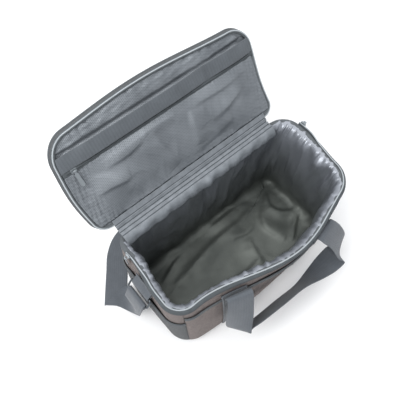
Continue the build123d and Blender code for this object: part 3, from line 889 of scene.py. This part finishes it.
def pressed_diamond(name, light, dark, cell_mm):
    """Satin coated cloth: three crossing sets of fine ridges make diamonds, and patches of painted sheen
    lighten and darken the colour.
    """
    material, tree, shader = new_material(name)
    uv = cloth_map(tree)
    ridges = None
    for degrees in (0, 60, 120):
        turn = (0, 0, math.radians(degrees))
        turned = node(tree, "Mapping", {"Vector": uv, "Rotation": turn}).outputs[0]
        wave = stripes(tree, turned, cell_mm, 0.3, "X")
        ridges = wave if ridges is None else sum_of(tree, ridges, wave)
    mix = node(tree, "Math", {0: ridges, 1: 0.33}, operation="MULTIPLY").outputs[0]
    # Painted sheen: broad noise patches lighten and darken the colour, standing in for the satin's sheen.
    both = sum_of(tree, mix, noise(tree, uv, 60, Detail=3.0))
    tint = mixed(tree, ranged(tree, both, 0.6, 1.35), srgb(dark), srgb(light))
    plug(tree, shader, {"Base Color": tint, "Normal": bumped(tree, ridges, 0.5, 0.35), "Roughness": 0.42,
                        "Metallic": 0.3})
    return material


diamond_cloth = pressed_diamond("silver_coated_polyester", "#868b90", "#565b60", 2.6)


pocket_v0, zip_v0, zip_v1, band_v1 = 27.0, 143.5, 152.0, 178.0


def lining_height(r, x, v):
    """Lining's height: drawn up into the seam at the edge, with small puckers there, nearly flat inside."""
    pucker = ripples(x, v, 71, 15, 8) + 2.4 * creases(x, v, 73, 22, 5)
    pucker = pucker * np.exp(-(1 - r) * 6) * smooth((1 - r) * 40)
    behind_band = 4.0 * hump((v - band_v1 - 1) / 8)
    level = 4.4 - 2.2 * smooth((1 - r) * 9) + 0.5 * ripples(x, v, 72, 95)
    return np.clip(level + behind_band + 1.3 * pucker, np.where(v < band_v1 + 2, 2.9, 0.8), 7.2)


points, ring, x, v = lid_plate(191, 5.6, lining_height)
lining = skin("lid_lining_cloth", points, np.stack([x, v], -1), diamond_cloth, 0.8)
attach(lining, "lid")
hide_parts("lid_lining")

edge_s = np.linspace(0, 1, 721)
edge_x, edge_v = lid_line(edge_s)


def lid_sides(v, inset):
    """x of the lid's left and right edges at v, drawn in by inset."""
    left, right = edge_x < 0, edge_x > 0
    a, b = np.argsort(edge_v[left]), np.argsort(edge_v[right])
    left_x = np.interp(v, edge_v[left][a], edge_x[left][a]) + inset
    return left_x, np.interp(v, edge_v[right][b], edge_x[right][b]) - inset


def lid_strip(v_start, v_end, inset, rows, columns, height):
    """Grid across the lid between two distances from the hinge, from side to side. height is a function of
    (t, w, x, v)."""
    t, w = np.meshgrid(np.linspace(0, 1, columns), np.linspace(0, 1, rows))
    v = v_start + (v_end - v_start) * w
    left, right = lid_sides(v, inset)
    x = left + (right - left) * t
    return lid_place(x, v, height(t, w, x, v)), x, v


def slack_height(t, w, x, v):
    """Pocket cloth: level at its seams, off the lining inside, with slack folds fanning from its corners."""
    ends = smooth((t - 0.05) / 0.09) * smooth((1 - t) / 0.08)
    inside = np.clip((16 * t * (1 - t) * w * (1 - w)) ** 0.5, 0, 1) * ends
    drape = 4.0 * inside * smooth(w * 3) + 2.0 * inside * ripples(x, v, 32, 110)
    for path, width, height in pocket_folds:
        drape = drape + fold(x, v, path, width, height) * inside**0.5
    small = 2.2 * inside * creases(x, v, 36, 34, 4, 2.4, 0.9)
    return 1.6 - np.clip(drape + small, 0, 14) - 0.7 * ripples(x, v, 35, 12, 8) * (1 - inside) ** 3


pocket_folds = [
    ([(168, 104), (147, 99), (114, 90), (74, 84)], 26, 8.0),
    ([(40, 120), (34, 95), (28, 52)], 20, -6.5),
    ([(-70, 126), (-107, 121), (-150, 120)], 16, 6.0),
    ([(-118, 80), (-163, 86), (-208, 84)], 18, 7.5),
    ([(-51, 129), (-41, 87), (-28, 42)], 26, 6.5),
    ([(188, 128), (124, 124), (50, 126)], 15, 5.5),
    ([(10, 130), (-43, 134), (-138, 132)], 12, -5.5),
    ([(-185, 118), (-150, 100), (-120, 60)], 17, 4.5),
    ([(120, 62), (70, 50), (10, 44)], 24, 4.0),
]
points, x, v = lid_strip(pocket_v0, zip_v0, 7.0, 110, 300, slack_height)
pocket = skin("lid_pocket_cloth", points, np.stack([x, v], -1), diamond_cloth, 0.7)
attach(pocket, "lid")
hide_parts("lid_pocket")

# Pocket zip: dark tape with its own coil, mostly under the band's lower edge.
zip_section = lambda t, w, x, v: 1.1 - 0.5 * np.sin(np.pi * w)
points, x, v = lid_strip(zip_v0 - 1.5, zip_v1, 7.0, 10, 300, zip_section)
pocket_zip = skin("pocket_zip_tape", points, np.stack([v, x], -1), zip_tape, 0.9)
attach(pocket_zip, "lid")
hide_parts("lid_pocket_zip")
zip_mid = 0.5 * (zip_v0 + zip_v1) - 0.8
left, right = lid_sides(np.array([zip_mid]), 14.0)
x = np.linspace(left[0], right[0], 1500)
line = lid_place(x, zip_mid + 0 * x, 0.1 + 0 * x)
origin = lid_place(0 * x, 0 * x, 0 * x)
v_dir = lid_place(0 * x, 0 * x + 1, 0 * x) - origin
h_dir = lid_place(0 * x, 0 * x, 0 * x + 1) - origin
points = coil_tube(line, v_dir, h_dir, run_length(line), tooth_mm, 1.3, 0.8)
pocket_coil = skin("pocket_zip_coil", points, grid_uv(points), zip_tape, wrap=True, caps=True)
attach(pocket_coil, "lid")

# Elastic band over the lining above the pocket, bar-tacked once across, so it bows in two shallow loops.
tack_x = 101.0


def webbing(name, colour, rib_mm, across_mm):
    """Polyester webbing: strong ribs along it, finer picks across, a slight sheen and wear in patches."""
    material, tree, shader = new_material(name)
    uv = cloth_map(tree)
    both = sum_of(tree, stripes(tree, uv, rib_mm, 0.25, "X"), stripes(tree, uv, across_mm, 0.25, "Y"))
    patch = noise(tree, uv, 26, Detail=4.0)
    weave = node(tree, "Math", {0: both, 1: 0.12, 2: patch}, operation="MULTIPLY_ADD").outputs[0]
    tint = shaded(tree, colour, ranged(tree, weave, 0.35, 0.95, 0.84, 1.13))
    plug(tree, shader, {"Base Color": tint, "Normal": bumped(tree, both, 0.6, 0.35), "Roughness": 0.62,
                        "Sheen Weight": 0.15, "Specular IOR Level": 0.35})
    return material


band_webbing = webbing("elastic_band_webbing", "#565b60", 6.0, 2.0)


def band_height(t, w, x, v):
    """Band's height off the lining: a few mm proud between its ends and the bar-tack, dished at the tack."""
    loops = np.clip(np.abs(x - tack_x) / 60, 0, 1) * smooth((t - 0.05) / 0.1) * smooth((1 - t) / 0.08)
    proud = 0.6 - 4.0 * loops - 1.8 * w * (0.2 + 0.8 * loops) - 0.5 * np.sin(np.pi * w)
    return proud + 0.35 * ripples(x, v, 44, 60)


points, x, v = lid_strip(zip_v1 - 2.0, band_v1, 6.0, 18, 300, band_height)
band = skin("lid_webbing_band", points, np.stack([x, v], -1), band_webbing, 1.5)
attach(band, "lid")
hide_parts("lid_band")
tack = [int(np.argmin(np.abs(x[0] - tack_x - step))) for step in (-4.0, -1.5, 1.5, 4.0)]
zero = 0 * v[:, 0]
inward = lid_place(zero, zero, zero - 1) - lid_place(zero, zero, zero)
stitches("band_bar_tack", [(points[:, k] + 0.1 * inward, inward) for k in tack], "lid", 2.4)

# ---------------------------------------------------------------------------------------------
# Hinge: lining cloth runs from the lid over the hinge into the bag in four sewn tucks and ends in a gathered
# hem; a strip of edge tape does the same outside.
# ---------------------------------------------------------------------------------------------


def lid_yz(v, h):
    """(y, z) of the lid's section at v and h."""
    return tuple(lid_place(np.array(0.0), np.array(float(v)), h)[1:])


hinge_cloth = cloth_tape("silver_coated_taffeta", "#767b80", 2.4, roughness=0.35)
inner_path = curve([
    lid_yz(25, 2.0), lid_yz(19, 1.2), lid_yz(13, 0.4), (105.5, 236.8), (98.5, 235.4), (91, 235.2),
    (84, 234.0), (79, 229.5), (76.5, 223), (76.0, 218),
], 170)
tucks = sum(np.exp(-(((np.linspace(0, 1, 170) - place) / 0.011) ** 2)) for place in (0.19, 0.33, 0.46, 0.6))
x, down = np.meshgrid(np.linspace(-193, 189, 400), np.linspace(0, 1, 170))
tangent = np.gradient(inner_path, axis=0)
normal = np.stack([-tangent[:, 1], tangent[:, 0]], 1) / np.linalg.norm(tangent, axis=1)[:, None]
hem = smooth((down - 0.6) / 0.3)
wave = 0.9 * ripples(x, 0 * x, 81, 26, 9) + 0.9 * creases(x, down * 30, 82, 22, 5, 0.8)
off = 0.8 - 3.2 * tucks[:, None] + 1.9 * hem * wave + 0.25 * ripples(x, down * 50, 83, 20)
points = np.stack([x, inner_path[:, :1] - normal[:, :1] * off, inner_path[:, 1:] - normal[:, 1:] * off], -1)
points[..., 2] += hem * (1.7 * ripples(x, 0 * x, 84, 38, 7) - 0.5)
hinge_lining = skin("hinge_lining", points, grid_uv(points), hinge_cloth, 0.9, flip=True)
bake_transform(hinge_lining)

outer_path = curve([
    (back_y + 1.8, 205), (back_y + 2.2, 216), (back_y + 2.4, 225), (back_y + 4.6, 230.5), (111.5, 234),
    lid_yz(12.2, 8.0), lid_yz(12.0, 12.5),
], 40)
x, down = np.meshgrid(np.linspace(-176, 176, 150), np.linspace(0, 1, 40))
outer_z = outer_path[:, 1:] + 0.3 * ripples(x, down * 40, 85, 60)
points = np.stack([x, outer_path[:, :1] + 0 * x, outer_z], -1)
hinge_outer = skin("hinge_outer_strip", points, grid_uv(points), edge_tape, 1.2, flip=True)
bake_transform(hinge_outer)
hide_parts("hinge_strip_lower", "hinge_strip_upper")

# ---------------------------------------------------------------------------------------------
# Carry handles: 50 mm polyester webbing. Two strips are sewn up each face, and a loop leaves
# them under the rim. The front loop lies fallen forwards with its grip half turned; the back one hangs flat.
# ---------------------------------------------------------------------------------------------
webbing_w = 50.0
webbing_t = 2.0
strap_webbing = webbing("polyester_webbing", "#555a60", 5.0, 2.2)


def along(points, t):
    """Points at places t, 0 to 1 by length, along the smooth curve through a few points."""
    line = curve(points, 400)
    k = np.clip(np.asarray(t) * 399, 0, 398.999)
    i, f = k.astype(int), (k - k.astype(int))[..., None]
    return line[i] * (1 - f) + line[i + 1] * f


def ribbon(name, route, rows, material, width=webbing_w, thick=webbing_t, cut=(0.0, 0.0)):
    """Webbing along a route of (x, y, z, and the direction across). Its section is a flat box with round
    edges, and cut skews each end by that many mm across the width."""
    route = np.asarray(route, float)
    length = run_length(curve(route[:, :3], 400))
    half_w, half_t = width / 2, thick / 2
    steps = np.linspace(-1, 1, 15)
    face = np.stack([steps * (half_w - half_t), half_t + 0 * steps], 1)
    bend = np.linspace(np.pi / 2, -np.pi / 2, 5)[1:-1]
    side = np.stack([half_w - half_t + half_t * np.cos(bend), half_t * np.sin(bend)], 1)
    section = np.concatenate([face, side, -face, -side, face[:1]])
    first, last = abs(cut[0]) / length, 1 - abs(cut[1]) / length
    t = np.linspace(first, last, rows)[:, None] + 0 * section[None, :, 0]
    skew = section[None, :, 0] / half_w
    t = np.clip(t + skew * ((1 - t) * cut[0] + t * cut[1]) / length, 0, 1)
    at = along(route, t)
    ahead = along(route, np.clip(t + 4e-3, 0, 1))[..., :3] - along(route, np.clip(t - 4e-3, 0, 1))[..., :3]
    ahead /= np.linalg.norm(ahead, axis=-1, keepdims=True)
    across = at[..., 3:] - (at[..., 3:] * ahead).sum(-1, keepdims=True) * ahead
    across /= np.linalg.norm(across, axis=-1, keepdims=True)
    facing = np.cross(ahead, across)
    w, h = section[None, :, :1], section[None, :, 1:]
    points = at[..., :3] + w * across + h * facing
    uv = np.stack([np.broadcast_to(section[None, :, 0], t.shape), t * length], -1)
    return skin(name, points, uv, material, wrap=True, caps=True, flip=True)


def limb_share(x, front):
    """Shares of the walk across a strip of webbing that is centred on x."""
    xs = x + np.linspace(-webbing_w / 2, webbing_w / 2, 17)
    return np.array([share_at(v, front) for v in xs])


box_seams = (((44, 1), (57, 15)), ((44, 15), (57, 1)), ((44, 1), (44, 15)), ((57, 1), (57, 15)))
limb_x = {"front": {"left": -98.0, "right": 107.0}, "back": {"left": -105.0, "right": 105.0}}
for face in ("front", "back"):
    for limb in ("left", "right"):
        share = np.sort(limb_share(limb_x[face][limb], face == "front"))
        low = box_mm(f"{face}_{limb}_anchor")[0][2]
        z = np.linspace(low, 207 if face == "front" else 203, 60)
        s, z = np.meshgrid(share, z)
        out = 1.2 + 0 * s
        if face == "front":
            out = pocket_out("front", s, np.minimum(z, 190)) * smooth((206 - z) / 16) + 1.6
        inset, height = rise_of(z + bottom_r * (np.pi / 2 - 1))
        points = wall_point(s, height, out + webbing_t + 0.5 - inset)
        strip = skin(f"{face}_{limb}_strip", points, grid_uv(points), strap_webbing, webbing_t)
        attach(strip, "root")
        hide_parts(f"{face}_{limb}_anchor")
        normal = facing_of(points)
        normal = normal * np.sign(normal[30, 8, 1] * (-1 if face == "front" else 1))
        seam = [(points[1:-1, k] + 0.15 * normal[1:-1, k], normal[1:-1, k]) for k in (1, 15)]
        box = np.linspace(0, 1, 12)
        for start, end in box_seams:
            rows_at = np.round(start[0] + (end[0] - start[0]) * box).astype(int)
            across = start[1] + (end[1] - start[1]) * box
            k = np.minimum(across.astype(int), 15)
            f = (across - k)[:, None]
            spot = points[rows_at, k] * (1 - f) + points[rows_at, k + 1] * f
            seam.append((spot + 0.15 * normal[rows_at, k], normal[rows_at, k]))
        stitches(f"{face}_{limb}_strip_seam", seam, "root")

front_route = [
    (-97, -121, 201, 1, -0.25, 0),
    (-97, -124, 212, 1, -0.3, 0),
    (-100, -133, 210, 1, -0.35, 0),
    (-110, -147, 172, 0.85, -0.5, -0.05),
    (-121, -158, 126, 0.6, -0.8, 0),
    (-119, -162, 107, 0.45, -0.75, 0.35),
    (-104, -166, 101, 0.1, -0.45, 0.88),
    (-74, -170, 101, 0, -0.4, 0.91),
    (-20, -173, 102, 0, -0.42, 0.9),
    (32, -176, 104, 0, -0.42, 0.9),
    (78, -178, 105, -0.1, -0.75, 0.6),
    (118, -178, 106, -0.3, -0.93, 0.1),
    (139, -177, 116, -0.6, -0.75, -0.2),
    (141, -172, 146, -0.92, -0.4, -0.1),
    (128, -158, 184, -0.97, -0.3, 0),
    (112, -144, 210, -1, -0.25, 0),
    (108, -134, 211, -1, -0.2, 0),
    (107, -127, 203, -1, -0.2, 0),
]
loop = ribbon("front_carry_handle", front_route, 260, strap_webbing)
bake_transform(loop)
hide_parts("front_handle")

back_out = back_y + 4.6
back_route = [
    (-105, back_out - 1.6, 205, 1, 0, 0),
    (-105, back_out, 196, 1, 0, 0),
    (-105, back_out + 1.5, 160, 1, 0, 0),
    (-104, back_out + 1.5, 122, 1, 0, 0.1),
    (-92, back_out + 2, 98, 0.75, 0, 0.65),
    (-66, back_out + 2, 92, 0.1, 0, 1),
    (0, back_out + 2.5, 90, 0, 0.04, 1),
    (66, back_out + 2, 92, -0.1, 0, 1),
    (92, back_out + 2, 98, -0.75, 0, 0.65),
    (104, back_out + 1.5, 122, -1, 0, 0.1),
    (105, back_out + 1.5, 160, -1, 0, 0),
    (105, back_out, 196, -1, 0, 0),
    (105, back_out - 1.6, 205, -1, 0, 0),
]
loop = ribbon("back_carry_handle", back_route, 200, strap_webbing)
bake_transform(loop)
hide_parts("back_handle")

# ---------------------------------------------------------------------------------------------
# Shoulder strap: one length of the same webbing. Each end is turned back round a wire ring, the ring hangs
# in a webbing tab on the bag's end, and the slack lies on the floor behind, folded flat at each side.
# ---------------------------------------------------------------------------------------------


def scuffed_metal(name, colour, spot_mm, detail, dull, metallic):
    """Metal whose roughness runs between two values over scuffs of a size in mm."""
    material, tree, shader = new_material(name)
    rough = ranged(tree, noise(tree, place_of(tree), spot_mm, Detail=detail), 0.3, 0.7, *dull)
    plug(tree, shader, {"Base Color": srgb(colour), "Roughness": rough, "Metallic": metallic})
    return material


ring_steel = scuffed_metal("dark_plated_steel_wire", "#5d6266", 4, 4.0, (0.24, 0.42), 1.0)
painted_zinc = scuffed_metal("painted_zinc_zip_slider", "#8b9195", 2.5, 3.0, (0.3, 0.5), 0.6)
acetal, tree, shader = new_material("moulded_acetal_adjuster")
spark = bumped(tree, noise(tree, place_of(tree), 0.9, Detail=2.0), 0.25, 0.1)
plug(tree, shader, {"Base Color": srgb("#3a3d40"), "Roughness": 0.42, "Normal": spark})

kept_pieces = {"left_ring": ring_steel, "right_ring": ring_steel, "strap_adjuster": acetal,
               "pocket_slider": painted_zinc, "pocket_puller": painted_zinc}
for name, material in kept_pieces.items():
    kept = frame["nodes"][name]
    kept.data.materials.clear()
    kept.data.materials.append(material)


def moved_copy(name, made_name, shift, material):
    """Copy of a CAD piece's mesh with rounded edges, set over by a few mm to stay on the soft rim."""
    mesh = frame["nodes"][name].data.copy()
    mesh.name = made_name
    mesh.transform(Matrix.Translation(Vector(shift) * mm))
    mesh.materials.clear()
    mesh.materials.append(material)
    made = bpy.data.objects.new(made_name, mesh)
    scene.collection.objects.link(made)
    weld = made.modifiers.new("weld", "WELD")
    weld.merge_threshold = 0.01 * mm
    rounded = made.modifiers.new("rounded_edges", "BEVEL")
    rounded.width, rounded.segments, rounded.limit_method = 0.3 * mm, 2, "ANGLE"
    return made


for side in ("left", "right"):
    low, high = box_mm(side + "_zip_slider")
    seat_y = 0.5 * (low[1] + high[1])
    half = coil_line[coil_line[:, 0] < 0] if side == "left" else coil_line[coil_line[:, 0] > 0]
    near = half[np.argmin(np.abs(half[:, 1] - seat_y) + 1e3 * (half[:, 2] < 200))]
    seat_x = low[0] if side == "right" else high[0]
    shift = (near[0] - seat_x + (1.4 if side == "right" else -1.4), 0, near[2] - (rim_h + 0.7))
    for part in ("slider", "puller"):
        body = f"{side}_zip_{part}"
        metal = moved_copy(body, f"{side}_main_zip_{part}", shift, painted_zinc)
        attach(metal, body)
        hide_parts(body)

strap_t = 2.4
fold_x = 266.0
for side, sign in (("left", -1), ("right", 1)):
    low, high = box_mm(side + "_ring")
    wire = 4.0
    pin = np.array([sign * (min(abs(low[0]), abs(high[0])) + wire / 2), 0, high[2] - wire / 2])
    bar = np.array([sign * (max(abs(low[0]), abs(high[0])) - wire / 2), 0, low[2] + wire / 2])
    trial = np.linspace(*seams[side], 400)
    share = trial[np.argmin(np.abs(wall_point(trial, 200 + 0 * trial, 0 * trial)[:, 1]))]
    on_wall = lambda z, out: sign * abs(wall_point(np.array(share), np.array(float(z)), out)[0])
    y = (0, 1, 0)
    tab_route = [
        (on_wall(214, 1.6), 0, 214, *y), (on_wall(206, 2.0), 0, 206, *y),
        (pin[0] + sign * 1.0, 0, pin[2] + 7, *y), (pin[0] + sign * 3.4, 0, pin[2] + 1, *y),
        (pin[0] + sign * 0.6, 0, pin[2] - 3.3, *y), (pin[0] - sign * 3.4, 0, pin[2] - 1.0, *y),
        (pin[0] - sign * 4.2, 0, pin[2] + 4, *y), (on_wall(199, 0.6), 0, 199, *y),
        (on_wall(207, 0.2), 0, 207, *y),
    ]
    tab = ribbon(side + "_ring_loop_tab", tab_route, 90, strap_webbing, width=48, thick=1.7)
    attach(tab, "root")
    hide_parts(side + "_ring_tab")

    drop_route = [
        (bar[0] + sign * 4, 0, bar[2] - 13, *y), (bar[0] - sign * 0.5, 0, bar[2] - 4.6, *y),
        (bar[0] - sign * 3.3, 0, bar[2] + 0.5, *y), (bar[0] - sign * 0.6, 0, bar[2] + 3.4, *y),
        (bar[0] + sign * 3.3, 0, bar[2] + 0.4, *y), (bar[0] + sign * 8.5, 1, bar[2] - 14, *y),
        (bar[0] + sign * 14, 6, bar[2] - 42, 0, 1, 0.05),
        (bar[0] + sign * 14, 18, bar[2] - 88, -sign * 0.1, 1, 0.1),
        (bar[0] + sign * 12, 36, bar[2] - 130, -sign * 0.35, 0.9, 0.2),
        (bar[0] + sign * 14, 58, 18, -sign * 0.6, 0.75, 0.2),
        (sign * (fold_x - 8), 79, 6.6, -sign * 0.7, 0.7, 0),
        (sign * (fold_x + 17), 104, 5.0, -sign * 0.7, 0.7, 0),
    ]
    drop = ribbon(side + "_strap_drop", drop_route, 150, strap_webbing, thick=strap_t,
                  cut=(0, -22))
    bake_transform(drop)
    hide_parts(side + "_strap_end")

floor_route = [
    (-280, 69, 2.0, 0.8, -0.6, 0), (-266, 88, 2.0, 0.8, -0.6, 0), (-232, 133, 2.0, 0.8, -0.6, 0),
    (-205, 168, 2.2, 0.75, -0.65, 0.05), (-170, 190, 3.0, 0.45, -0.85, 0.1), (-110, 197, 2.4, 0.1, -1, 0.05),
    (0, 199, 2.0, 0, -1, 0), (110, 198, 2.4, -0.1, -1, 0.05), (170, 190, 3.0, -0.45, -0.85, 0.1),
    (205, 168, 2.2, -0.75, -0.65, 0.05), (232, 133, 2.0, -0.8, -0.6, 0), (266, 88, 2.0, -0.8, -0.6, 0),
    (280, 69, 2.0, -0.8, -0.6, 0),
]
strap = ribbon("shoulder_strap_run", floor_route, 300, strap_webbing, thick=strap_t, cut=(21, 21))
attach(strap, "root")
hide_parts("shoulder_strap")
